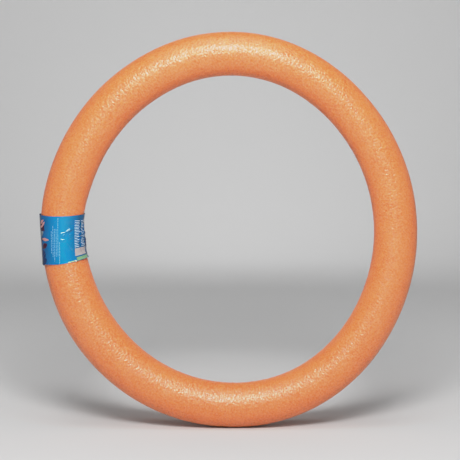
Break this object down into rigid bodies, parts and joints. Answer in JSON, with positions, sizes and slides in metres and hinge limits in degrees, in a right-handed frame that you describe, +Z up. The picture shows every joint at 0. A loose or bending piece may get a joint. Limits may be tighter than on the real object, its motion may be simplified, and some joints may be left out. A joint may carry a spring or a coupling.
{
  "type": "flying ring",
  "caption": "Soft hoop for tossing and catching: a hollow foam tube bent into a closed ring, its butt joint plugged, glued and wrapped in a printed label.",
  "frame": {"origin": "on the floor under the middle of the hoop: the middle of the overall box in X and Y, the tube's lowest line at Z = 0", "axes": "+Z up, +X to the right seen from the front, +Y along the hoop's axis towards its back; the label and the joint are at -X"},
  "size_m": [0.5257, 0.0631, 0.554],
  "materials": {
    "tube_foam": "satin",
    "plug_foam": "matte",
    "glue": "gloss",
    "label_film": "satin",
    "label_adhesive": "gloss"
  },
  "bodies": {
    "root": {"foam_tube": "tube_foam", "core_plug": "plug_foam", "plug_glue": "glue", "end_glue": "glue", "label_band": "label_film", "label_glue": "label_adhesive"}
  },
  "joints": []
}
